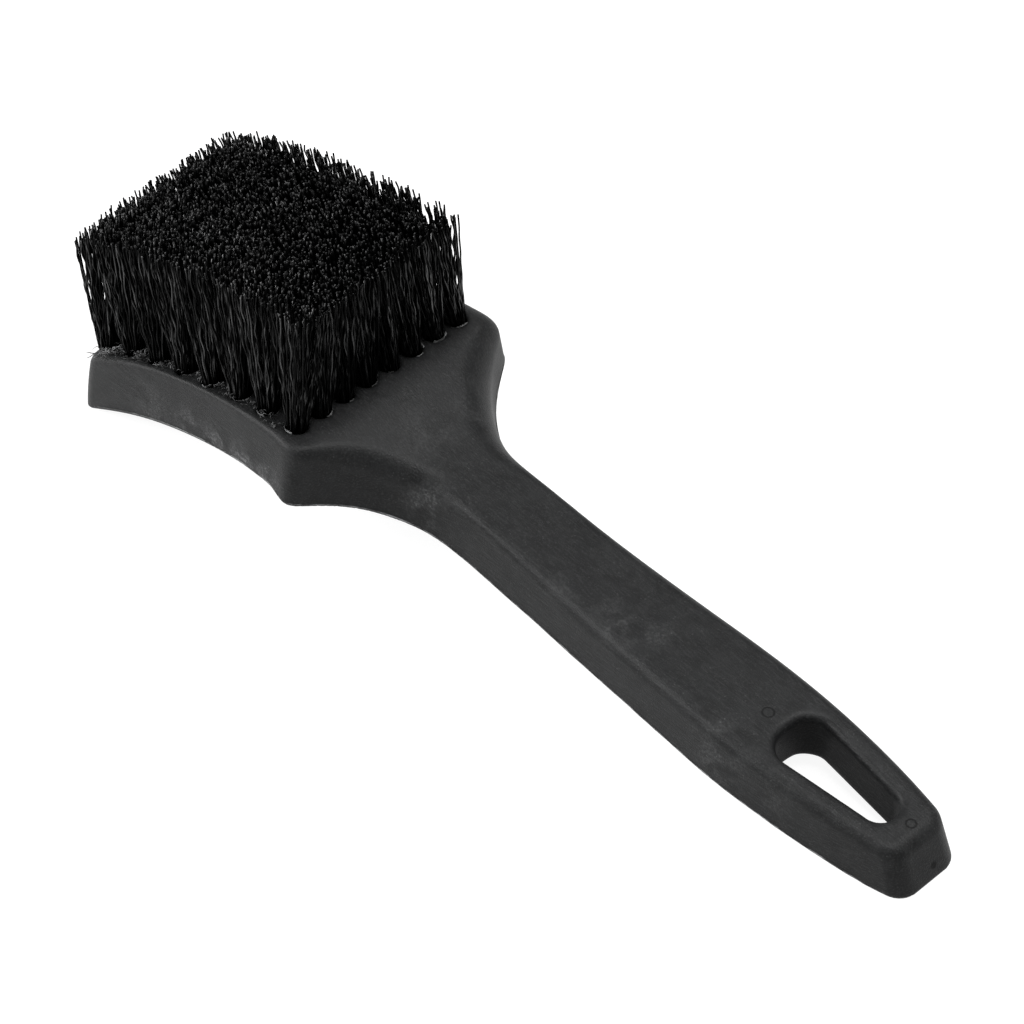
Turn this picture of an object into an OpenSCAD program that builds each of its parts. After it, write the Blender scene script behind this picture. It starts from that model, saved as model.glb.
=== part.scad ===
// Short-handled wheel and tyre brush: a one-piece moulded block and handle with an arched
// head, drilled for eight rows of crimped bristle tufts, each held by a flat metal anchor.
// The brush is drawn along its handle and then tipped so that it lies on its back:
// the toe of the head and the heel of the handle touch the ground at z = 0, bristles up.

/* [Block and handle] */
// Length from the toe of the head to the heel of the handle
brush_l = 248; // [247:0.5:250]
// Half width of the head at its toe
toe_half_w = 31.3; // [30.8:0.1:32]
// Half width of the head at its waist
waist_half_w = 30.3; // [30:0.1:31]
// Half width of the head across the hips
hip_half_w = 32.8; // [32:0.1:33.5]
// Half width of the handle at its neck
neck_half_w = 10.9; // [10:0.1:12]
// Half width of the handle at its widest point
grip_half_w = 14; // [13:0.1:15]
// Half width of the handle's blunt end, before its rounded corners
heel_half_w = 9.6; // [9:0.1:10]
// Radius of the rounded corners at the toe
toe_corner_r = 4; // [2:0.5:6]
// Thickness of the head at its toe
toe_t = 17.8; // [17:0.1:18.5]
// Thickness of the head at its hips
head_t = 16.4; // [15.5:0.1:17]
// Thickness of the grip
grip_t = 14.6; // [14:0.1:15.5]
// Thickness of the handle at its heel
heel_t = 13.2; // [12.8:0.1:14]

/* [Hanging hole] */
// Distance of the hole's wide end from the toe
hang_start_x = 203.7; // [202:0.1:206]
// Distance of the centre of the hole's narrow end from the toe
hang_narrow_x = 231.4; // [229:0.1:233]
// Half width of the hole at its wide end
hang_half_w = 7.3; // [6.5:0.1:7.8]
// Radius of the two corners at the wide end
hang_corner_r = 4.4; // [3.5:0.1:5]
// Radius of the narrow end
hang_narrow_r = 4.5; // [3.8:0.1:4.8]

/* [Bristles] */
// Number of tuft rows along the head
tuft_rows = 8; // [8:1:8]
// Number of tufts in a row, an even number
tufts_in_row = 8; // [6:2:8]
// Spacing of the rows along the head
row_pitch = 9.65; // [9.4:0.05:9.7]
// Spacing of the tufts across the head
tuft_pitch = 7.2; // [7.1:0.05:7.4]
// Distance of the first row, on the handle side, from the toe
first_row_x = 71.2; // [70.8:0.1:72]
// Diameter of a tuft hole
tuft_hole_d = 5.2; // [4.6:0.1:5.6]
// Depth of a tuft hole below the top of the head
tuft_hole_depth = 10; // [8:0.5:11]
// Length of a trimmed tuft above the block
bristle_l = 34.5; // [30:0.5:40]
// Diameter of a tuft at its trimmed end
tuft_tip_d = 6.6; // [5.6:0.1:6.8]
// Lean of the first row towards the toe, in degrees
first_row_lean = 5.5; // [4:0.5:7]
// Lean of the last row towards the toe, in degrees
last_row_lean = 9.5; // [7.5:0.5:10]

/* [Anchors] */
// Height of the flat metal anchor
anchor_h = 2.6; // [2:0.1:3]
// Thickness of the anchor
anchor_t = 0.4; // [0.3:0.05:0.6]
// How far the anchor bites into the plastic on each side of the hole
anchor_bite = 0.35; // [0.2:0.05:0.5]

/* [Hidden] */
$fn = 64;

plastic = [0.045, 0.046, 0.048];
bristle = [0.02, 0.02, 0.021];
steel = [0.72, 0.72, 0.74];

// Steps between two guide points of a smooth outline
curve_steps = 4;
// Length of the flat land at the heel, which touches the ground
land_l = 9;

// Top line of the brush seen from the side: x from the toe, height over the grip line
top_guide = [[-18, -32], [0, -19], [18, -8.5], [36, -1], [54, 5], [68, 8.3], [78, 8.4],
    [90, 4.5], [104, 1.6], [125, 0], [150, -1], [180, -1.4], [210, -2.2], [235, -3.4],
    [brush_l, -4.2], [brush_l + 20, -6]];

// Thickness of the brush at a distance from the toe
function thickness(x) = lookup(x, [[0, toe_t], [24, toe_t - 0.7], [60, head_t], [79, head_t],
    [104, grip_t + 0.5], [150, grip_t + 0.2], [190, grip_t], [brush_l - land_l, heel_t]]);

// Point at the fraction t of the smooth step from b to c, with neighbours a and d
function smooth(a, b, c, d, t) = 0.5 * (2 * b + (c - a) * t
    + (2 * a - 5 * b + 4 * c - d) * t * t + (3 * b - a - 3 * c + d) * t * t * t);

// Smooth line through the guide points, whose first and last points only steer it
function curve(g) = concat(
    [for (i = [1:len(g) - 3]) for (k = [0:curve_steps - 1])
        smooth(g[i - 1], g[i], g[i + 1], g[i + 2], k / curve_steps)],
    [g[len(g) - 2]]);

function reversed(list) = [for (i = [len(list) - 1:-1:0]) list[i]];

top_line = curve(top_guide);
// Height of the top line at a distance from the toe
function top_z(x) = lookup(x, top_line);

// The ground line passes under the toe and under the heel
heel_x = brush_l - land_l;
toe_z = top_z(0) - toe_t;
heel_z = top_z(heel_x) - heel_t;
rest_tilt = atan2(heel_z - toe_z, heel_x);
function ground_z(x) = toe_z + x * tan(rest_tilt);
// Length of the land at the toe, where it touches the ground
toe_land_l = 3;

bottom_line = concat([[0, ground_z(0)]],
    [for (p = top_line) if (p[0] > toe_land_l && p[0] < heel_x)
        [p[0], max(p[1] - thickness(p[0]), ground_z(p[0]))]],
    [[heel_x, ground_z(heel_x)], [brush_l, ground_z(brush_l)]]);

// Half of the outline seen from above: x from the toe, half width
side_guide = [[-10, toe_half_w], [toe_corner_r, toe_half_w], [26, waist_half_w],
    [48, waist_half_w + 0.1], [62, hip_half_w - 1.6], [71, hip_half_w - 0.6], [76, hip_half_w],
    [80, hip_half_w - 3.8], [85, 22.5], [90, 18], [98, 13.4], [110, neck_half_w],
    [125, neck_half_w + 0.1], [150, 12.1], [178, 13.4], [198, grip_half_w], [217, 13], [232, 11.3],
    [brush_l - 5, heel_half_w], [brush_l - 1.2, heel_half_w - 2.1], [brush_l, heel_half_w - 5.5],
    [brush_l, 0], [brush_l, -4]];

half_outline = curve(side_guide);
toe_corner = [for (a = [0:15:75]) [toe_corner_r * (1 - cos(a)),
    toe_half_w - toe_corner_r * (1 - sin(a))]];
left_side = concat(toe_corner, half_outline);

// Position of row r along the head and its lean, r from 0 on the handle side
function row_x(r) = first_row_x - r * row_pitch;
function row_lean(r) = first_row_lean + (last_row_lean - first_row_lean) * r / (tuft_rows - 1);
function tuft_y(c) = (c - (tufts_in_row - 1) / 2) * tuft_pitch;
half_row = tufts_in_row / 2;

// Where the tipped brush lies, so that its box stands centred on the origin
function tipped_x(p) = p[0] * cos(rest_tilt) + p[1] * sin(rest_tilt);
last_lean = row_lean(tuft_rows - 1);
last_tip = [row_x(tuft_rows - 1) - bristle_l * sin(last_lean) - tuft_tip_d / 2 * cos(last_lean),
    top_z(row_x(tuft_rows - 1)) + bristle_l * cos(last_lean)];
low_x = min(tipped_x([0, toe_z]), tipped_x(last_tip));
high_x = tipped_x([brush_l, top_z(brush_l)]);
ground_offset = toe_z * cos(rest_tilt);

// Tips a shape drawn along the handle so that it lies on its back on the ground
module lying() {
    translate([-(low_x + high_x) / 2, 0, -ground_offset])
        rotate([0, rest_tilt, 0])
            children();
}

// Puts a shape at one tuft, with z along the tuft and its origin on the top of the head
module at_tuft(r, c) {
    translate([row_x(r), tuft_y(c), top_z(row_x(r))])
        rotate([0, -row_lean(r), 0])
            children();
}

module side_profile() {
    rotate([90, 0, 0])
        linear_extrude(height = 3 * hip_half_w, center = true)
            polygon(concat(top_line, reversed(bottom_line)));
}

module plan_profile() {
    translate([0, 0, toe_z - 10])
        linear_extrude(height = 80)
            polygon(concat(left_side, [for (p = reversed(left_side)) [p[0], -p[1]]]));
}

// Centre of the hole's left corner circle at its wide end
hang_corner_x = hang_start_x + hang_corner_r;
hang_corner_y = hang_half_w - hang_corner_r;

module hang_hole() {
    translate([0, 0, toe_z])
        linear_extrude(height = 60) {
            for (side = [-1, 1])
                translate([hang_corner_x, side * hang_corner_y])
                    circle(r = hang_corner_r);
            translate([hang_narrow_x, 0])
                circle(r = hang_narrow_r);
            translate([hang_start_x, -hang_corner_y])
                square([hang_corner_r, 2 * hang_corner_y]);
            polygon(hang_sides());
        }
}

// Straight sides of the hole, tangent to its corners and to its narrow end
function hang_sides() = let (
    reach = hang_narrow_x - hang_corner_x,
    turn = acos((hang_corner_r - hang_narrow_r) / norm([reach, hang_corner_y]))
        - atan2(hang_corner_y, reach),
    away = [cos(turn), sin(turn)],
    wide = [hang_corner_x, hang_corner_y] + hang_corner_r * away,
    narrow = [hang_narrow_x, 0] + hang_narrow_r * away)
    [wide, narrow, [narrow[0], -narrow[1]], [wide[0], -wide[1]]];

module handle_block() {
    color(plastic)
        lying()
            difference() {
                intersection() {
                    side_profile();
                    plan_profile();
                }
                hang_hole();
                for (r = [0:tuft_rows - 1], c = [0:tufts_in_row - 1])
                    at_tuft(r, c)
                        translate([0, 0, -tuft_hole_depth])
                            cylinder(d = tuft_hole_d, h = tuft_hole_depth + 8);
            }
}

// One tuft: a round root that fills its hole and a trimmed brush that flares to its end
module tuft(r, c) {
    at_tuft(r, c) {
        translate([0, 0, -tuft_hole_depth])
            cylinder(d = tuft_hole_d, h = tuft_hole_depth);
        cylinder(d1 = tuft_hole_d, d2 = tuft_tip_d, h = bristle_l);
    }
}

// Half of row r, from tuft number first on
module tuft_row(r, first) {
    color(bristle)
        lying()
            for (c = [first:first + half_row - 1])
                difference() {
                    tuft(r, c);
                    at_tuft(r, c)
                        anchor_plate();
                }
}

// Flat plate across the bottom of a tuft hole, driven a little into its walls
module anchor_plate() {
    translate([0, 0, -tuft_hole_depth + anchor_h / 2])
        cube([anchor_t, tuft_hole_d + 2 * anchor_bite, anchor_h], center = true);
}

module anchor_row(r) {
    color(steel)
        lying()
            for (c = [0:tufts_in_row - 1])
                at_tuft(r, c)
                    anchor_plate();
}

handle_block();
for (r = [1:tuft_rows]) {
    tuft_row(r - 1, 0);
    tuft_row(r - 1, half_row);
    anchor_row(r - 1);
}
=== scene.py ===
"""Short-handled wheel and tyre brush: a black moulded block and handle with eight rows of
crimped bristle tufts. Sizes are in millimetres in the design frame, which runs along the
handle: x from the toe of the head, y across it, z up the bristles. `lay` tips that frame
onto the ground, the way the CAD model lies, and turns it into metres."""
import math

import bpy
import numpy as np
from mathutils import Matrix, Vector


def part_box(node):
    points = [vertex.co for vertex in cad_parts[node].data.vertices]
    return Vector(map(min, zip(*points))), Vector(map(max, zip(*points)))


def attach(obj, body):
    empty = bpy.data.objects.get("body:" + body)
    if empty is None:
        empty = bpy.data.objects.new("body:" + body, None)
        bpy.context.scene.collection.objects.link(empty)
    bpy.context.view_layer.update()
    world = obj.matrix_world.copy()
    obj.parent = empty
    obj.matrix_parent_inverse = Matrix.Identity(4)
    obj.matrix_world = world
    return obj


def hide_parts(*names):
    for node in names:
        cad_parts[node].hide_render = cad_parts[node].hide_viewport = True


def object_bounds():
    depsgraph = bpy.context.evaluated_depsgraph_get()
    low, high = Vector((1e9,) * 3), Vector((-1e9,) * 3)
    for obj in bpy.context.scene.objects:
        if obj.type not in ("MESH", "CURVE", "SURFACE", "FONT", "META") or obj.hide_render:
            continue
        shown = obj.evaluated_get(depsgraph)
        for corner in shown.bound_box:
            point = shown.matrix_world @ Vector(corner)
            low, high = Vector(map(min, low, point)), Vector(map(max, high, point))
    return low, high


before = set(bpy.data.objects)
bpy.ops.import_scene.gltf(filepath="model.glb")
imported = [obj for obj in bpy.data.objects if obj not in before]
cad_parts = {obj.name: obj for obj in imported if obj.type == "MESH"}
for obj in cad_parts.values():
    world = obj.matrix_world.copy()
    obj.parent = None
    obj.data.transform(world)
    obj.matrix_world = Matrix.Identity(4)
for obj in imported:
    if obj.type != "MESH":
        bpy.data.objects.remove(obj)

cad_low, cad_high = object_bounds()
block_low, block_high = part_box("handle_block")
rng = np.random.default_rng(7)

# ---------------------------------------------------------------- driving sizes, mm

BRUSH_L = 248.0
TOE_T, HEAD_T, HEEL_T = 17.8, 16.4, 13.2
LAND_L = 9.0                       # flat land at the heel, which touches the ground
TOE_CORNER_R, HEEL_CORNER_R = 5.0, 4.2
BACK_EDGE_R, HOLE_RIM_R = 1.2, 2.1
TUFT_ROWS, TUFTS_IN_ROW = 8, 8
LAST_ROW, LAST_COL = TUFT_ROWS - 1, TUFTS_IN_ROW - 1
ROW_PITCH, TUFT_PITCH, FIRST_ROW_X = 9.65, 7.2, 71.2
TUFT_HOLE_R, TUFT_HOLE_DEPTH = 2.6, 10.0
BRISTLE_L = 34.5
FIRST_ROW_LEAN, LAST_ROW_LEAN = 5.5, 9.5                # degrees
HOLE_DRIFT = 0.12                  # how far a leaning hole moves along the head per mm of depth
HEAD_END_X = 80                    # the head's top is flat enough to trim the bristles up to here
TOE_X, TOE_DRAFT, TOE_SWELL = 0.4, 0.06, 2              # the toe's face bulges between its edges
HEEL_SETBACK, HEEL_SLOPE, HEEL_COS = 4.4, 0.42, 0.93    # the heel slopes out towards the back
SHOULDER_HOLLOW = 0.5              # the shoulder's faces are hollow
RIGHT_HIP, RIGHT_EDGE_R = 1.9, 3.6                      # fuller and rounder than the left hip

# Top of the brush seen from the side: x, height over the grip line
TOP_GUIDE = [(-18, -32), (0, -19), (18, -8.5), (36, -1), (54, 5), (68, 8.3), (78, 8.4),
             (90, 4.5), (104, 1.6), (125, 0), (150, -1), (180, -1.4), (210, -2.2), (235, -3.4),
             (BRUSH_L, -4.2), (BRUSH_L + 20, -6)]
THICKNESS = [(-20, TOE_T), (4, TOE_T), (24, 17.1), (48, 16.5), (64, HEAD_T), (79, HEAD_T),
             (90, 15.5), (104, 15.1), (150, 14.8), (190, 14.6), (239, HEEL_T), (270, 13)]
# Half widths of the top face and of the back: x, half width
TOP_WIDTH = [(-12, 31), (4, 30.6), (26, 29.5), (48, 29.5), (62, 30.4), (71, 31.1), (75.5, 31.3),
             (77.6, 30.4), (79.5, 27.9), (82, 24.3), (85, 20.8), (89, 17.3), (94, 14.1), (100, 11.6),
             (106, 10.3), (113, 9.9), (125, 10.1), (140, 10.8), (155, 11.6), (170, 12.3), (185, 12.9),
             (196, 13), (208, 12.7), (218, 12), (228, 11), (239, 9.4), (252, 6.8)]
BACK_WIDTH = [(-12, 32.3), (4, 32), (26, 31.1), (48, 31.2), (58, 31.8), (66, 32.5), (72, 33.4),
              (75.8, 34.3), (78, 33.4), (80, 31), (83, 26.8), (88.7, 20.4), (94, 16.6), (99.5, 13.9),
              (106, 12.3), (113, 11.8), (125, 12), (140, 12.4), (155, 13.1), (170, 13.8),
              (185, 14.6), (196, 15), (208, 14.6), (218, 13.9), (228, 12.7), (239, 11), (252, 8.6)]
# Radius of the edge round the top face, soft at the toe and where the neck flows into the head
TOP_EDGE_R = [(-4, 2.6), (4, 2.4), (14, 1.5), (70, 1.6), (77, 2.2), (83, 3.4), (96, 4.8), (103, 4.6),
              (111, 2.6), (130, 2.3), (224, 2.3), (244, 2.6), (260, 2.6)]


def spline(guide):
    """A natural cubic spline through the guide points, as a dense table for np.interp."""
    gx, gy = np.array(guide, float).T
    h = np.diff(gx)
    n = len(gx)
    a = np.eye(n)
    b = np.zeros(n)
    for i in range(1, n - 1):
        a[i, i - 1:i + 2] = h[i - 1], 2 * (h[i - 1] + h[i]), h[i]
        b[i] = 6 * ((gy[i + 1] - gy[i]) / h[i] - (gy[i] - gy[i - 1]) / h[i - 1])
    m = np.linalg.solve(a, b)
    xs = np.arange(gx[0], gx[-1], 0.2)
    k = np.clip(np.searchsorted(gx, xs) - 1, 0, n - 2)
    t0, t1 = xs - gx[k], gx[k + 1] - xs
    ys = (m[k] * t1 ** 3 + m[k + 1] * t0 ** 3) / (6 * h[k])
    ys += (gy[k] / h[k] - m[k] * h[k] / 6) * t1 + (gy[k + 1] / h[k] - m[k + 1] * h[k] / 6) * t0
    return xs, ys, np.gradient(ys, xs)


TOP, THICK, TOP_W, BACK_W, TOP_EDGE = (
    spline(guide) for guide in (TOP_GUIDE, THICKNESS, TOP_WIDTH, BACK_WIDTH, TOP_EDGE_R))


def at(table, x):
    return np.interp(x, table[0], table[1])


def slope(table, x):
    return np.interp(x, table[0], table[2])


def top_z(x):
    return at(TOP, x)


def row_x(row):
    return FIRST_ROW_X - row * ROW_PITCH


def col_y(col):
    return (col - LAST_COL / 2) * TUFT_PITCH


def row_lean(row):
    """How far a row of tufts leans towards the toe, in radians."""
    return np.radians(FIRST_ROW_LEAN + (LAST_ROW_LEAN - FIRST_ROW_LEAN) * row / LAST_ROW)


# ---------------------------------------------------------------- design frame to row frame

HEEL_X = BRUSH_L - LAND_L
TOE_Z = float(top_z(0)) - TOE_T
HEEL_Z = float(top_z(HEEL_X)) - HEEL_T
TILT = math.atan2(HEEL_Z - TOE_Z, HEEL_X)
MM = 0.001
tip = Matrix.Rotation(TILT, 4, "Y")
heel_top = tip @ Vector((BRUSH_L, 0, float(top_z(BRUSH_L)))) * MM
toe_bottom = tip @ Vector((0, 0, TOE_Z)) * MM
set_down = Matrix.Translation((block_high.x - heel_top.x, 0, block_low.z - toe_bottom.z))
lay = set_down @ tip @ Matrix.Scale(MM, 4)
lay_np = np.array(lay)


def laid(points):
    """Design-frame points (n, 3) in the row frame, in metres."""
    return np.asarray(points) @ lay_np[:3, :3].T + lay_np[:3, 3]


def mesh_object(name, verts, *face_sets):
    """A smooth mesh object from design-frame points and sets of equal-sided faces."""
    corners = np.concatenate([f.ravel() for f in face_sets]).astype(np.int32)
    sides = np.concatenate([np.full(len(f), f.shape[1]) for f in face_sets])
    mesh = bpy.data.meshes.new(name)
    mesh.vertices.add(len(verts))
    mesh.vertices.foreach_set("co", laid(verts).astype(np.float32).ravel())
    mesh.loops.add(len(corners))
    mesh.loops.foreach_set("vertex_index", corners)
    mesh.polygons.add(len(sides))
    mesh.polygons.foreach_set("loop_start", (np.cumsum(sides) - sides).astype(np.int32))
    mesh.update(calc_edges=True)
    mesh.validate()
    mesh.polygons.foreach_set("use_smooth", np.full(len(mesh.polygons), True))
    obj = bpy.data.objects.new(name, mesh)
    bpy.context.scene.collection.objects.link(obj)
    return obj


# ---------------------------------------------------------------- camera

AZIMUTH, ELEVATION, ROLL = 44.27, 48.39, 2.16           # degrees, in the design frame
AIM = (125, 0, 10)
AIM_SHIFT = (6.22, 4.01)           # from the middle of the view to AIM, right and up
DISTANCE = 1019.2
FOCAL = 4501 / 1024                # focal length over the width of the sensor
SENSOR_MM = 36


def make_camera():
    a, e, r = (math.radians(v) for v in (AZIMUTH, ELEVATION, ROLL))
    back = Vector((math.sin(a) * math.cos(e), -math.cos(a) * math.cos(e), math.sin(e)))
    right = Vector((math.cos(a), math.sin(a), 0))
    up = back.cross(right)
    right, up = right * math.cos(r) + up * math.sin(r), up * math.cos(r) - right * math.sin(r)
    eye = Vector(AIM) - right * AIM_SHIFT[0] - up * AIM_SHIFT[1] + back * DISTANCE
    data = bpy.data.cameras.new("camera")
    data.sensor_width = SENSOR_MM
    data.lens = data.sensor_width * FOCAL
    data.clip_start, data.clip_end = 0.01, 20
    camera = bpy.data.objects.new("camera", data)
    bpy.context.scene.collection.objects.link(camera)
    turn = tip.to_3x3() @ Matrix((right, up, back)).transposed()
    camera.matrix_world = Matrix.Translation(lay @ eye) @ turn.to_4x4()
    bpy.context.scene.camera = camera


make_camera()

# ---------------------------------------------------------------- block and handle


def round_max(a, b, r):
    """The larger of two distances, with a fillet of radius r where they meet."""
    inner = np.minimum(np.maximum(a, b), -r)
    return inner + np.hypot(np.maximum(a + r, 0), np.maximum(b + r, 0))


def ramp(x, x0, x1, y0, y1):
    """y0 to y1 as x goes from x0 to x1, smooth at both ends."""
    t = np.clip((x - x0) / (x1 - x0), 0, 1)
    return y0 + (y1 - y0) * t * t * (3 - 2 * t)


def hang_hole(x, y):
    """Distance outside the wall of the hanging hole, negative in the solid around it."""
    start_x, wide_x, narrow_x, corner = 203.7, 207.9, 231.4, 4.4
    wide_w, narrow_w = 7.3, 4.5
    half = np.interp(x, [wide_x, narrow_x], [wide_w, narrow_w])
    ends = np.maximum(start_x + 0.03 * y * y - x, x - (narrow_x + narrow_w))
    return -round_max(np.abs(y) - half, ends, corner)


def tuft_frame(x, y, z):
    """Distance from the nearest tuft's axis, and height along it over the top of the head."""
    drop = top_z(np.clip(x, 0, HEAD_END_X)) - z
    row = np.clip(np.rint((FIRST_ROW_X - x + HOLE_DRIFT * drop) / ROW_PITCH), 0, LAST_ROW)
    col = np.clip(np.rint(y / TUFT_PITCH + LAST_COL / 2), 0, LAST_COL)
    cx, cy, lean = row_x(row), col_y(col), row_lean(row)
    dx, dz = x - cx, z - top_z(cx)
    along = -dx * np.sin(lean) + dz * np.cos(lean)
    across = dx * np.cos(lean) + dz * np.sin(lean)
    return np.hypot(across, y - cy), along


def half_width(x, y, level):
    """Half width of the block at a level from 0 at the top face to 1 at the back, and how full
    the right hip is there."""
    shoulder = ramp(x, 77, 84, 0, SHOULDER_HOLLOW) * ramp(x, 96, 110, 1, 0)
    right_hip = ramp(x, 45, 78, 0, 1) * ramp(x, 94, 116, 1, 0) * (y > 0)
    flat = at(TOP_W, x) * (1 - level) + at(BACK_W, x) * level
    return flat - shoulder * 4 * level * (1 - level) + RIGHT_HIP * right_hip, right_hip


def block_distance(x, y, z):
    """Signed distance to the block and handle, in mm."""
    top = top_z(x)
    thick = at(THICK, x)
    fall = np.hypot(1, slope(TOP, x))
    level = np.clip((top - z) / thick, -0.15, 1.15)        # 0 at the top face, 1 at the back
    wide, right_hip = half_width(x, y, level)
    steep = slope(TOP_W, x) * (1 - level) + slope(BACK_W, x) * level
    side = (np.abs(y) - wide) / np.hypot(1, steep)
    toe = -x - TOE_DRAFT * (top - z) - TOE_SWELL * level * (1 - level) + TOE_X
    heel = (x - (BRUSH_L - HEEL_SETBACK) - HEEL_SLOPE * np.clip(top - z, 0, 20)) * HEEL_COS
    d = round_max(side, toe, TOE_CORNER_R)
    d = round_max(d, heel, HEEL_CORNER_R)
    d = round_max(d, (z - top) / fall, at(TOP_EDGE, x) + RIGHT_EDGE_R * right_hip)
    ground = (TOE_Z + x * math.tan(TILT) - z) * math.cos(TILT)
    d = round_max(d, np.maximum((top - thick - z) / fall, ground), BACK_EDGE_R)
    d = round_max(d, hang_hole(x, y), HOLE_RIM_R)
    radial, along = tuft_frame(x, y, z)
    tuft_hole = np.minimum(TUFT_HOLE_R - radial, along + TUFT_HOLE_DEPTH)
    return np.maximum(d, tuft_hole)


def surface_net(distance, xs, ys, zs):
    """Quads along the zero surface of a distance field sampled on a grid."""
    f = distance(xs[:, None, None], ys[None, :, None], zs[None, None, :])
    inside = f < 0
    corner = [(a, b, c) for a in (0, 1) for b in (0, 1) for c in (0, 1)]
    n = np.array(f.shape) - 1
    count = sum(inside[a:a + n[0], b:b + n[1], c:c + n[2]].astype(np.int8) for a, b, c in corner)
    cells = np.argwhere((count > 0) & (count < 8))
    index = np.full(n, -1, np.int64)
    index[tuple(cells.T)] = np.arange(len(cells))
    grid = (xs, ys, zs)
    total, hits = np.zeros((len(cells), 3)), np.zeros(len(cells))
    for axis in range(3):
        step = np.eye(3, dtype=int)[axis]
        for start in corner:
            if start[axis]:
                continue
            i0 = cells + start
            i1 = i0 + step
            f0, f1 = f[tuple(i0.T)], f[tuple(i1.T)]
            cross = (f0 < 0) != (f1 < 0)
            t = np.where(cross, f0 / np.where(cross, f0 - f1, 1), 0)
            p0 = np.stack([g[i] for g, i in zip(grid, i0.T)], 1)
            p1 = np.stack([g[i] for g, i in zip(grid, i1.T)], 1)
            total += np.where(cross[:, None], p0 + (p1 - p0) * t[:, None], 0)
            hits += cross
    verts = total / hits[:, None]
    quads = []
    for axis in range(3):
        u, v = (axis + 1) % 3, (axis + 2) % 3
        lo = [slice(None)] * 3
        hi = [slice(None)] * 3
        lo[axis], hi[axis] = slice(0, -1), slice(1, None)
        change = inside[tuple(lo)] != inside[tuple(hi)]
        where = np.argwhere(change)
        leaving = inside[tuple(where.T)]
        du, dv = np.eye(3, dtype=int)[u], np.eye(3, dtype=int)[v]
        ring = np.stack([index[tuple((where - a).T)] for a in (du * 0, du, du + dv, dv)], 1)
        ring[~leaving] = ring[~leaving][:, ::-1]
        quads.append(ring)
    return verts, np.concatenate(quads)


def pull_to_surface(verts, distance, step=0.02, reach=0.4):
    """Moves points along the field's gradient onto its zero surface."""
    f = distance(*verts.T)
    grad = np.stack([distance(*(verts + d).T) - distance(*(verts - d).T)
                     for d in np.eye(3) * step], 1) / (2 * step)
    move = grad * (f / np.maximum((grad ** 2).sum(1), 0.05))[:, None]
    size = np.linalg.norm(move, axis=1, keepdims=True)
    return verts - move * np.minimum(1, reach / np.maximum(size, 1e-9))


def relax(verts, quads):
    """One pass that moves each point towards the middle of its neighbours."""
    total, hits = np.zeros_like(verts), np.zeros(len(verts))
    for a, b in ((0, 1), (1, 2), (2, 3), (3, 0)):
        for p, q in ((a, b), (b, a)):
            np.add.at(total, quads[:, p], verts[quads[:, q]])
            np.add.at(hits, quads[:, p], 1)
    return verts * 0.5 + total / hits[:, None] * 0.5


GRID, MARGIN = 0.7, 4
HALF_SPAN, TOP_SPAN = 36, 12       # the block lies inside these, across and up
RELAX_PASSES = 3


def make_block():
    xs = np.arange(-MARGIN, BRUSH_L + MARGIN, GRID)
    ys = np.arange(-HALF_SPAN, HALF_SPAN + GRID, GRID)
    zs = np.arange(TOE_Z - MARGIN, TOP_SPAN, GRID)
    verts, quads = surface_net(block_distance, xs, ys, zs)
    for _ in range(RELAX_PASSES):
        verts = pull_to_surface(relax(verts, quads), block_distance)
    verts = pull_to_surface(verts, block_distance)
    return mesh_object("block_and_handle", verts, quads)


# ---------------------------------------------------------------- bristles

FILAMENTS = 84                     # ends in each tuft
FILAMENT_R = 0.225
RINGS, SIDES = 26, 5
BURIED = 5.0                       # length inside the block
GOLDEN_ANGLE = 2.39996
ANGLE_JITTER = 0.3
TWIST, INNER_TWIST = 0.12, 0.4     # how far the filaments turn round the tuft on their way up
SQUARENESS = 0.75                  # a tuft opens from its round hole to a square between its neighbours
SPREAD = np.array([6.8, 5.5])      # how far a tuft opens from its axis at the tips, along and across
EDGE_SPREAD = np.array([6.0, 4.9])                      # the same on the outside of the field
EDGE_FILL = 0.8
# How far the tips of the corner tufts are combed from their axes, along and across
TOE_PULL = np.array([(1.2, 2.4), (-1.9, -4.1)])         # left, right
HANDLE_PULL = np.array([(0.75, 3.1), (-1.25, -5.1)])
MIDDLE_PULL = np.array([-4.0, -2.5])                    # more in the middle rows and columns
TUFT_SHIFT = (0.7, 1.0)            # how far the tips of a whole inner tuft are off, along and across
TIP_SHIFT, INNER_TIP_SHIFT = 0.3, 0.45                  # and those of a single filament
STRAY_SHARE, STRAY_SHIFT = 0.04, 2.2
LENGTH_TRIM, TUFT_LENGTH_NOISE, LENGTH_NOISE = 0.3, 0.28, 0.3
TRIM_FOLLOW = 0.9                  # how closely the trimmed tips follow the top of the head
OPENING, OPENING_NOISE = 0.78, 0.05
CRIMP_PITCH, CRIMP = (7, 12), (0.15, 0.38)              # length and height of a wave


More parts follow.
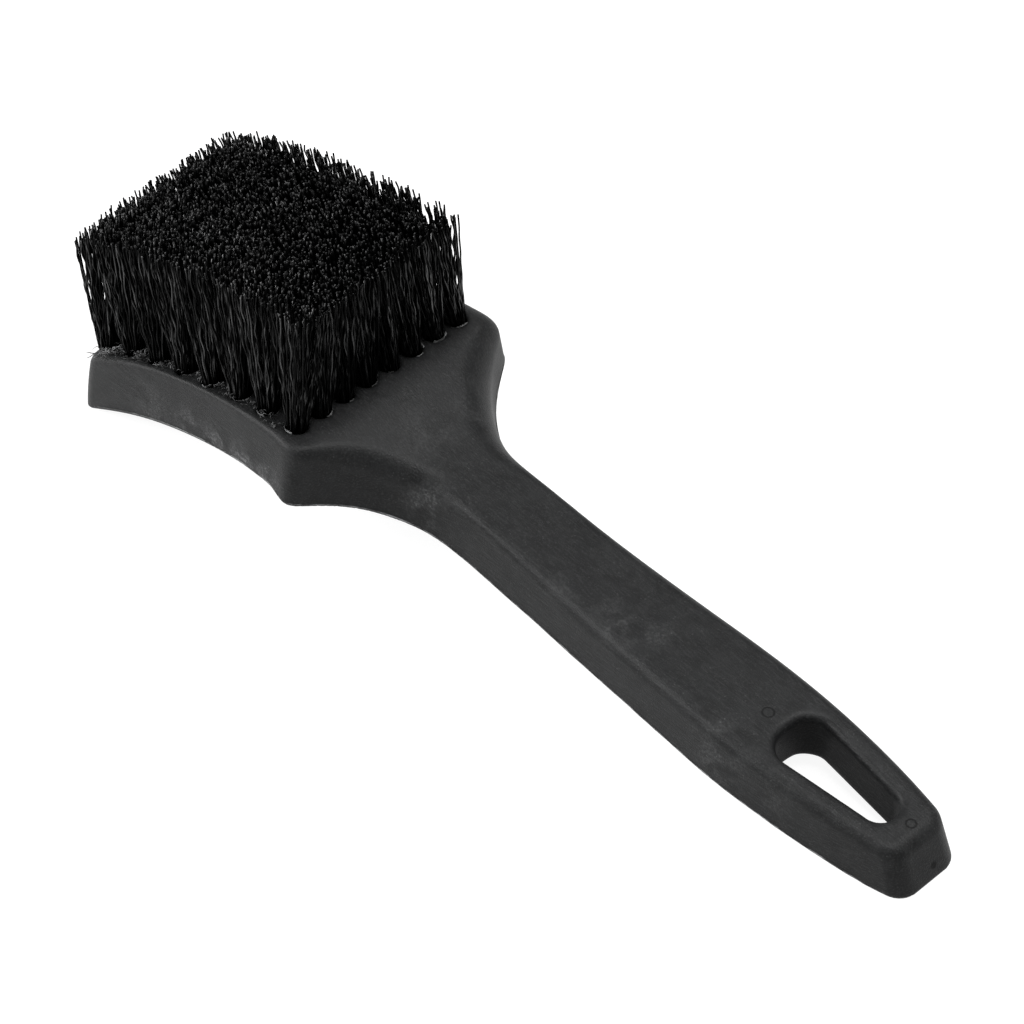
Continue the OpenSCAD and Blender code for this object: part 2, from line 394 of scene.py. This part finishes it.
def tubes(name, paths, radii, up):
    """One mesh of closed round tubes along paths (n, rings, 3), with radii (n, rings). `up` is a
    direction that no path follows: one for all of them, or (n, 1, 3)."""
    n, rings = paths.shape[:2]
    tangent = np.gradient(paths, axis=1)
    u = np.cross(tangent, up)
    u /= np.linalg.norm(u, axis=2, keepdims=True)
    v = np.cross(tangent, u)
    v /= np.linalg.norm(v, axis=2, keepdims=True)
    turn = np.arange(SIDES) * 2 * math.pi / SIDES
    around = u[:, :, None] * np.cos(turn)[:, None] + v[:, :, None] * np.sin(turn)[:, None]
    verts = paths[:, :, None] + around * radii[:, :, None, None]
    here = np.arange(SIDES)
    there = (here + 1) % SIDES
    ring = np.arange(rings - 1)[:, None] * SIDES
    wall = np.stack([ring + here, ring + there, ring + SIDES + there, ring + SIDES + here], 2)
    caps = np.stack([here[::-1], (rings - 1) * SIDES + here])
    start = np.arange(n)[:, None, None] * rings * SIDES
    return mesh_object(name, verts.reshape(-1, 3), (start + wall.reshape(-1, 4)).reshape(-1, 4),
                       (start + caps).reshape(-1, SIDES))


def tuft_paths(row, col):
    """Centre lines of one tuft's filaments, in the design frame."""
    x0, y0, lean = row_x(row), col_y(col), row_lean(row)
    base = np.array([x0, y0, float(top_z(x0))])
    axis = np.array([-math.sin(lean), 0, math.cos(lean)])
    side = np.array([math.cos(lean), 0, math.sin(lean)])
    outward = np.array([(row == 0) - (row == LAST_ROW), (col == LAST_COL) - (col == 0)])
    inner = not outward.any()
    k = np.arange(FILAMENTS)
    reach = np.sqrt((k + 0.5) / FILAMENTS)
    angle = k * GOLDEN_ANGLE + rng.uniform(-ANGLE_JITTER, ANGLE_JITTER, FILAMENTS)
    foot = np.stack([np.cos(angle), np.sin(angle)], 1) * reach[:, None] * (TUFT_HOLE_R - FILAMENT_R)
    twist = angle + rng.normal(0, INNER_TWIST if inner else TWIST, FILAMENTS)
    round_xy = np.stack([np.cos(twist), np.sin(twist)], 1)
    square = round_xy * reach[:, None] / np.abs(round_xy).max(1)[:, None] ** SQUARENESS
    front, right = 1 - row / LAST_ROW, col / LAST_COL
    sides = np.array([1 - right, right])
    pull = (sides @ HANDLE_PULL) * front + (sides @ TOE_PULL) * (1 - front)
    pull += MIDDLE_PULL * (4 * front * (1 - front), 4 * right * (1 - right))
    # the outside of the field is full and even, with nothing standing out past it
    full = np.sign(square) * np.abs(square) ** EDGE_FILL * EDGE_SPREAD
    head = np.where(square * outward > 0, full, square * SPREAD)
    shift = rng.normal(0, TUFT_SHIFT) * inner
    head += shift + rng.normal(0, INNER_TIP_SHIFT if inner else TIP_SHIFT, (FILAMENTS, 2))
    stray = rng.random(FILAMENTS) < STRAY_SHARE
    head += stray[:, None] * rng.normal(0, STRAY_SHIFT, (FILAMENTS, 2))
    over = np.maximum(head * outward - EDGE_SPREAD, 0)
    head += pull - over * rng.uniform(1, 1.4, (FILAMENTS, 2)) * outward
    length = BRISTLE_L - LENGTH_TRIM + rng.normal(0, TUFT_LENGTH_NOISE)
    length = length + rng.normal(0, LENGTH_NOISE, FILAMENTS)
    rise = (top_z(np.clip(x0 + head[:, 0], 0, HEAD_END_X)) - base[2]) * TRIM_FOLLOW
    s = np.linspace(-BURIED / BRISTLE_L, 1, RINGS)
    out = np.clip(s, 0, 1)
    opening = np.clip(rng.normal(OPENING, OPENING_NOISE, (FILAMENTS, 1)), 0.65, 1)
    pitch = rng.uniform(*CRIMP_PITCH, FILAMENTS)[:, None]
    phase, way = rng.uniform(0, 2 * math.pi, (2, FILAMENTS, 1))
    wave = rng.uniform(*CRIMP, (FILAMENTS, 1)) * np.clip(s * 5, 0, 1)
    wave = wave * np.sin(s * BRISTLE_L * 2 * math.pi / pitch + phase)
    flat = foot[:, None] + (head - foot)[:, None] * (out ** opening)[:, :, None]
    flat = flat + np.stack([np.cos(way) * wave, np.sin(way) * wave], 2)
    along = s * length[:, None] + out * rise[:, None]
    return base + flat[:, :, :1] * side + flat[:, :, 1:] * (0, 1, 0) + along[:, :, None] * axis


def make_tufts(row, name, cols):
    paths = np.concatenate([tuft_paths(row, col) for col in cols])
    return tubes(name, paths, np.full(paths.shape[:2], FILAMENT_R), (0, 1, 0))


# ---------------------------------------------------------------- burrs, shavings and flash

BURRS, BURR_POINTS = 5, 9          # broken pieces of lip round each tuft hole
BURR_TURN, BURR_OUT, BURR_R = (0.3, 1.3), (0.05, 0.45), (0.08, 0.2)
SHAVINGS, SHAVING_POINTS = 150, 11
SHAVING_X, SHAVING_IN = (5, 70), (1.6, 4.2)             # along the head, in from its edge
SHAVING_L, SHAVING_R = (0.5, 2.2), (0.06, 0.14)
CURL_R, CURL_TURNS = (0.1, 0.5), (0.5, 2.0)
TOE_END_X = 20                     # shavings are longer and thicker up to here
FLASH_POINTS, FLASH_LEVEL, FLASH_R = 360, 0.93, (0.05, 0.35)
FLASH_SMOOTH = 7                   # points over which its thickness is evened out


def make_burrs():
    """The rough, broken lip that drilling leaves round each tuft hole."""
    paths, radii = [], []
    for row in range(TUFT_ROWS):
        for col in range(TUFTS_IN_ROW):
            for _ in range(BURRS):
                turn = rng.uniform(0, 2 * math.pi) + np.linspace(0, rng.uniform(*BURR_TURN), BURR_POINTS)
                reach = TUFT_HOLE_R + rng.uniform(*BURR_OUT) + rng.normal(0, 0.06, BURR_POINTS)
                x, y = row_x(row) + reach * np.cos(turn), col_y(col) + reach * np.sin(turn)
                paths.append(np.stack([x, y, top_z(x) + rng.uniform(-0.08, 0.1, BURR_POINTS)], 1))
                radii.append(rng.uniform(*BURR_R) * rng.uniform(0.5, 1.3, BURR_POINTS))
    return tubes("hole_burrs", np.array(paths), np.array(radii), (0, 0, 1))


def make_shavings():
    """Thin curls of plastic left along the edge of the head, most of them near the toe."""
    s = np.linspace(0, 1, SHAVING_POINTS)
    x = SHAVING_X[0] + (SHAVING_X[1] - SHAVING_X[0]) * rng.random(SHAVINGS) ** 1.7
    y = rng.uniform(*SHAVING_IN, SHAVINGS) - at(TOP_W, x)
    start = np.stack([x, y, top_z(x) + 0.25], 1)
    way = rng.uniform(0, 2 * math.pi, SHAVINGS)
    slopes = slope(TOP, x)
    axis = np.stack([np.cos(way), np.sin(way), slopes * np.cos(way)], 1)
    side = np.stack([-np.sin(way), np.cos(way), -slopes * np.sin(way)], 1)
    at_toe = x < TOE_END_X
    length = rng.uniform(*SHAVING_L, SHAVINGS) * (1 + 1.2 * at_toe)
    curl, turns = rng.uniform(*CURL_R, SHAVINGS), rng.uniform(*CURL_TURNS, SHAVINGS)
    angle = s * 2 * math.pi * turns[:, None] + rng.uniform(0, 6.28, (SHAVINGS, 1))
    paths = start[:, None] + axis[:, None] * (s * length[:, None])[:, :, None]
    paths = paths + side[:, None] * (curl[:, None] * np.cos(angle))[:, :, None]
    paths[:, :, 2] += curl[:, None] * (1 + np.sin(angle)) + s * rng.uniform(0, 0.7, (SHAVINGS, 1))
    radii = rng.uniform(*SHAVING_R, (SHAVINGS, 1)) * (1 - 0.7 * s ** 3) * (1 + 0.5 * at_toe[:, None])
    return tubes("drill_shavings", paths, radii, axis[:, None])


def make_flash():
    """The fine line of flash that the mould leaves along both sides, near the back."""
    x = np.linspace(4, 240, FLASH_POINTS)
    paths = []
    for way in (-1, 1):
        wide, _ = half_width(x, way, FLASH_LEVEL)
        paths.append(np.stack([x, way * (wide - 0.05), top_z(x) - FLASH_LEVEL * at(THICK, x)], 1))
    rough = np.convolve(rng.uniform(*FLASH_R, FLASH_POINTS + FLASH_SMOOTH - 1),
                        np.full(FLASH_SMOOTH, 1 / FLASH_SMOOTH), "valid")
    radii = np.stack([rough, rough]) * ramp(x, 4, 10, 0.1, 1) * ramp(x, 234, 240, 1, 0.1)
    return tubes("mould_flash", np.array(paths), radii, (0, 0, 1))


# ---------------------------------------------------------------- materials


class Finish:
    """A node material whose textures are placed by object coordinates, in metres."""

    def __init__(self, name):
        self.material = bpy.data.materials.new(name)
        self.material.use_nodes = True
        self.tree = self.material.node_tree
        self.shader = self.tree.nodes["Principled BSDF"]
        self.place = self.node("ShaderNodeTexCoord", {}, "Object")

    def node(self, kind, inputs, out=0, **settings):
        made = self.tree.nodes.new(kind)
        for key, value in settings.items():
            setattr(made, key, value)
        for key, value in inputs.items():
            self.put(made, key, value)
        return made.outputs[out]

    def put(self, made, key, value):
        if isinstance(value, bpy.types.NodeSocket):
            self.tree.links.new(value, made.inputs[key])
        else:
            made.inputs[key].default_value = value

    def math(self, operation, a, b=0.0, clamp=False):
        return self.node("ShaderNodeMath", {0: a, 1: b}, operation=operation, use_clamp=clamp)

    def noise(self, scale, detail=2.0, stretch=(1, 1, 1), turn=(0, 0, 0)):
        place = self.node("ShaderNodeMapping", {"Vector": self.place, "Rotation": turn, "Scale": stretch})
        return self.node("ShaderNodeTexNoise", {"Vector": place, "Scale": scale, "Detail": detail})

    def specks(self, scale, size):
        """1 in small round spots scattered one to a cell, 0 between them."""
        cells = self.node("ShaderNodeTexVoronoi", {"Vector": self.place, "Scale": scale}, "Distance")
        return self.fade(cells, size, size * 0.4)

    def fade(self, value, zero_at, one_at):
        """0 to 1 as value goes from zero_at to one_at."""
        return self.node("ShaderNodeMapRange", {"Value": value, "From Min": zero_at, "From Max": one_at},
                         interpolation_type="SMOOTHSTEP")

    def near(self, design_point, radius, core=0.0):
        """1 at a design-frame point in mm, fading to 0 at the radius in mm."""
        centre = tuple(float(v) for v in laid([design_point])[0])
        reach = self.node("ShaderNodeVectorMath", {0: self.place, 1: centre}, "Value", operation="DISTANCE")
        return self.fade(reach, radius * MM, core * MM)

    def mix(self, factor, a, b):
        return self.node("ShaderNodeMix", {0: factor, 6: a, 7: b}, 2, data_type="RGBA")

    def facing_up(self):
        """How far up the surface faces, from -1 to 1."""
        normal = self.node("ShaderNodeNewGeometry", {}, "True Normal")
        return self.node("ShaderNodeSeparateXYZ", {"Vector": normal}, "Z")

    def bump(self, height, depth, strength=1.0, under=None):
        inputs = {"Height": height, "Distance": depth, "Strength": strength}
        if under is not None:
            inputs["Normal"] = under
        return self.node("ShaderNodeBump", inputs)

    def finish(self, **sockets):
        for key, value in sockets.items():
            self.put(self.shader, key.replace("_", " "), value)
        return self.material


def grey(level, tint=0.0):
    return (level * (1 - tint), level, level * (1 + tint), 1)


# Pale places on the moulding in the design frame: point, radius, strength. Most are dust; the patch on the
# side of the neck is a painted sheen, and the two on the top of the shoulder are partly dust, partly
# painted light that brightens the shoulder
DUST_AND_SHEEN = [((40, -31.5, -14), 10, 0.7), ((50, -31.5, -12.5), 10, 1.0), ((60, -32, -10), 10, 1.2),
        ((69, -33, -8), 9, 1.2), ((25, -31, -17), 12, 0.4), ((101, -12.5, -5), 9, 0.7),
        ((142, -8, 0), 9, 0.18), ((158, -6, 0), 12, 0.26), ((166, -3, 0), 8, 0.24),
        ((196, -13.5, -8), 14, 0.38), ((212, -13, -8), 10, 0.25), ((90, -2, 5), 14, 0.22),
        ((92, 12, 4), 15, 0.22)]
# Round marks that the mould leaves on the top face, place and radius, and a pin's in the heel
GATE_MARKS = [((198.2, -0.4), 1.35), ((239.9, 1.1), 1.15)]
GATE_RIM = 0.4
PIN_MARK, PIN_R = (247.0, 1.6, -12.2), 1.2
# Balls that take in the walls of the hanging hole, where a dimmed reflection paints shade in the recess:
# point, radius
HOLE_SHADE_CORES = [((209, 0, -8), 13), ((219, 0, -8), 13), ((229, 0, -9), 12)]
# Each specular level is its usual value times a mask, so that the usual value can be exported
PLASTIC_GLOSS, BRISTLE_GLOSS = 0.12, 0.15


def plastic():
    f = Finish("moulded_plastic")
    mottle = f.noise(160, 6)
    grain = f.math("ADD", f.math("MULTIPLY", f.noise(3400, 2), 0.5),
                   f.math("MULTIPLY", f.noise(260, 3, stretch=(1, 9, 9), turn=(0, 0, 0.5)), 0.5))
    flow = f.noise(30, 4, stretch=(1, 14, 14), turn=(0, 0, 0.06))
    tone = f.math("ADD", f.math("MULTIPLY", mottle, 0.6), f.math("MULTIPLY", flow, 0.4))
    colour = f.mix(f.fade(tone, 0.3, 0.7), grey(0.0034, 0.03), grey(0.0058, 0.04))
    scratch = f.fade(f.noise(60, 3, stretch=(1, 26, 26), turn=(0, 0, 0.35)), 0.62, 0.74)
    colour = f.mix(f.math("MULTIPLY", scratch, 0.22), colour, grey(0.025, 0.02))
    dust_and_sheen = 0.05
    for point, radius, strength in DUST_AND_SHEEN:
        dust_and_sheen = f.math("MAXIMUM", dust_and_sheen, f.math("MULTIPLY", f.near(point, radius), strength))
    dust_and_sheen = f.math("MULTIPLY", dust_and_sheen, f.fade(f.noise(190, 3), 0.38, 0.58))
    cloud = f.math("ADD", f.math("MULTIPLY", f.fade(f.noise(1500, 6), 0.42, 0.66), 0.7), 0.25)
    # pale dust, with a painted sheen on the side of the neck and painted light on the shoulder top
    colour = f.mix(f.math("MULTIPLY", dust_and_sheen, cloud, clamp=True), colour, grey(0.085, 0.01))
    colour = f.mix(f.fade(grain, 0.47, 0.68), colour, grey(0.014, 0.02))
    specks = f.math("MULTIPLY", f.specks(900, 0.24), f.fade(f.noise(260, 3), 0.46, 0.62))
    specks = f.math("MULTIPLY", specks, f.math("ADD", dust_and_sheen, 0.1, clamp=True))
    colour = f.mix(specks, colour, grey(0.1, 0.01))
    rings = 0.0
    for (x, y), radius in GATE_MARKS:
        centre = (x, y, float(top_z(x)))
        rim = f.math("SUBTRACT", f.near(centre, radius + GATE_RIM, radius),
                     f.near(centre, radius, radius - GATE_RIM))
        rings = f.math("MAXIMUM", rings, rim)
    dent = f.math("MAXIMUM", rings, f.near(PIN_MARK, PIN_R, PIN_R / 2))
    colour = f.mix(f.math("MULTIPLY", dent, 0.7), colour, grey(0.003))
    rough = f.math("ADD", 0.38, f.math("MULTIPLY", tone, 0.16))
    rough = f.math("ADD", rough, f.math("MULTIPLY", cloud, f.math("MULTIPLY", dust_and_sheen, 0.25)))
    normal = f.bump(grain, 0.00022, 0.7)
    height = f.math("SUBTRACT", f.math("MULTIPLY", f.noise(220, 3), 0.5), dent)
    normal = f.bump(height, 0.00012, 0.5, under=normal)
    # the walls of the hanging hole reflect less than the rest, as painted shade in the recess; the mould
    # marks are duller too
    core = 0.0
    for point, radius in HOLE_SHADE_CORES:
        core = f.math("MAXIMUM", core, f.near(point, radius, radius * 0.7))
    wall = f.fade(f.facing_up(), 0.7, 0.3)
    dull_marks_and_hole_shade = f.math("MAXIMUM", f.math("MULTIPLY", core, wall), f.math("MULTIPLY", dent, 0.7))
    gloss = f.math("MULTIPLY", PLASTIC_GLOSS, f.math("SUBTRACT", 1.0, f.math("MULTIPLY", dull_marks_and_hole_shade, 0.75)))
    return f.finish(Base_Color=colour, Roughness=rough, Normal=normal, Specular_IOR_Level=gloss)


def bristle():
    f = Finish("bristle")
    strand = f.noise(1300, 1, stretch=(1, 1, 0.035))
    along = f.noise(120, 3)
    tone = f.math("ADD", f.math("MULTIPLY", strand, 0.75), f.math("MULTIPLY", along, 0.25))
    colour = f.mix(f.fade(tone, 0.35, 0.7), grey(0.0004, 0.03), grey(0.0014, 0.03))
    # the cut ends are duller than the strands and paler on some, more on some than others: the pale colour
    # is partly their own cut colour and partly a painted glint
    cut_ends_painted_glint = f.fade(f.facing_up(), 0.82, 0.9)
    colour = f.mix(f.math("MULTIPLY", cut_ends_painted_glint, f.fade(f.noise(1700, 1), 0.52, 0.62)), colour, grey(0.036, 0.01))
    rough = f.math("ADD", 0.2, f.math("MULTIPLY", strand, 0.2))
    # some strands shine much more than others
    shine = f.math("ADD", 0.2, f.math("MULTIPLY", f.fade(tone, 0.5, 0.66), 3.0))
    # the cut ends reflect less, since their glint is painted into the colour
    shine = f.math("MULTIPLY", shine, f.math("SUBTRACT", 1.0, f.math("MULTIPLY", cut_ends_painted_glint, 0.8)))
    gloss = f.math("MULTIPLY", BRISTLE_GLOSS, shine)
    return f.finish(Base_Color=colour, Roughness=rough, Normal=f.bump(f.noise(3000, 2), 0.00003, 0.5),
                    Specular_IOR_Level=gloss)


def shaving():
    f = Finish("plastic_shaving")
    colour = f.mix(f.fade(f.noise(300, 3), 0.4, 0.7), grey(0.008, 0.02), grey(0.11, 0.01))
    return f.finish(Base_Color=colour, Roughness=f.math("ADD", 0.4, f.math("MULTIPLY", f.noise(900), 0.3)),
                    Normal=f.bump(f.noise(4000, 2), 0.00003, 0.5), Specular_IOR_Level=0.25)


def steel():
    f = Finish("anchor_steel")
    drawn = f.noise(120, 3, stretch=(1, 1, 30))
    colour = f.mix(drawn, grey(0.42, 0.02), grey(0.58, 0.01))
    rough = f.math("ADD", 0.25, f.math("MULTIPLY", drawn, 0.2))
    return f.finish(Base_Color=colour, Roughness=rough, Normal=f.bump(drawn, 0.00002, 0.4), Metallic=1.0)


def floor_paint():
    f = Finish("floor")
    tone = f.mix(f.noise(4, 2), grey(0.15), grey(0.16))
    return f.finish(Base_Color=tone, Roughness=0.8, Emission_Color=(1, 1, 1, 1), Emission_Strength=0.9)


# ---------------------------------------------------------------- build

plastic_finish, bristle_finish = plastic(), bristle()
steel_finish, shaving_finish = steel(), shaving()


def add_piece(piece, finish, slot, *nodes):
    piece.data.materials.append(finish)
    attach(piece, "root")
    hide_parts(*nodes)


add_piece(make_block(), plastic_finish, "moulded_plastic", "handle_block")
for make in (make_burrs, make_shavings, make_flash):
    add_piece(make(), shaving_finish, "moulded_plastic", "handle_block")

columns = range(TUFTS_IN_ROW)
halves = {"left": columns[:TUFTS_IN_ROW // 2], "right": columns[TUFTS_IN_ROW // 2:]}
for row in range(TUFT_ROWS):
    for half, cols in halves.items():
        node = f"tuft_row_{row + 1}_{half}"
        add_piece(make_tufts(row, "filaments_" + node, cols), bristle_finish, "bristle", node)
    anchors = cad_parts[f"anchor_row_{row + 1}"]
    for holder in anchors.material_slots:
        holder.material = steel_finish

# ---------------------------------------------------------------- floor and light

FLOOR_SIZE = 6

bpy.ops.mesh.primitive_plane_add(size=FLOOR_SIZE, location=(0, 0, cad_low.z))
floor = bpy.context.object
floor.name = "floor"
floor.data.materials.append(floor_paint())


def studio_world():
    """A soft white room, brightest overhead, dim on the side the camera looks from."""
    world = bpy.data.worlds.new("studio")
    world.use_nodes = True
    tree = world.node_tree
    way = tree.nodes.new("ShaderNodeTexCoord").outputs["Generated"]
    facing = tree.nodes.new("ShaderNodeVectorMath")
    facing.operation = "DOT_PRODUCT"
    facing.inputs[1].default_value = (-0.15, 0.2, 0.97)
    strength = tree.nodes.new("ShaderNodeMapRange")
    for name, value in (("From Min", -0.4), ("From Max", 1.0), ("To Min", 0.37), ("To Max", 0.7)):
        strength.inputs[name].default_value = value
    tree.links.new(way, facing.inputs[0])
    tree.links.new(facing.outputs["Value"], strength.inputs["Value"])
    tree.links.new(strength.outputs[0], tree.nodes["Background"].inputs["Strength"])
    tree.nodes["Background"].inputs["Color"].default_value = (1, 1, 1, 1)
    return world


bpy.context.scene.world = studio_world()
bpy.context.scene.view_settings.view_transform = "Standard"


def softbox(name, place, aim, size, watts):
    data = bpy.data.lights.new(name, "AREA")
    data.shape = "RECTANGLE"
    data.size, data.size_y = size
    data.energy = watts
    lamp = bpy.data.objects.new(name, data)
    lamp.location = place
    lamp.rotation_euler = (Vector(aim) - Vector(place)).to_track_quat("-Z", "Y").to_euler()
    bpy.context.scene.collection.objects.link(lamp)


middle = (cad_low + cad_high) / 2
softbox("key", (-1.0, -0.8, 0.45), middle, (0.9, 0.6), 17)
softbox("top", (0.3, 0.25, 1.3), middle, (0.9, 1.2), 30)
softbox("edge", (-0.6, -0.85, 0.8), middle, (0.7, 0.4), 12)
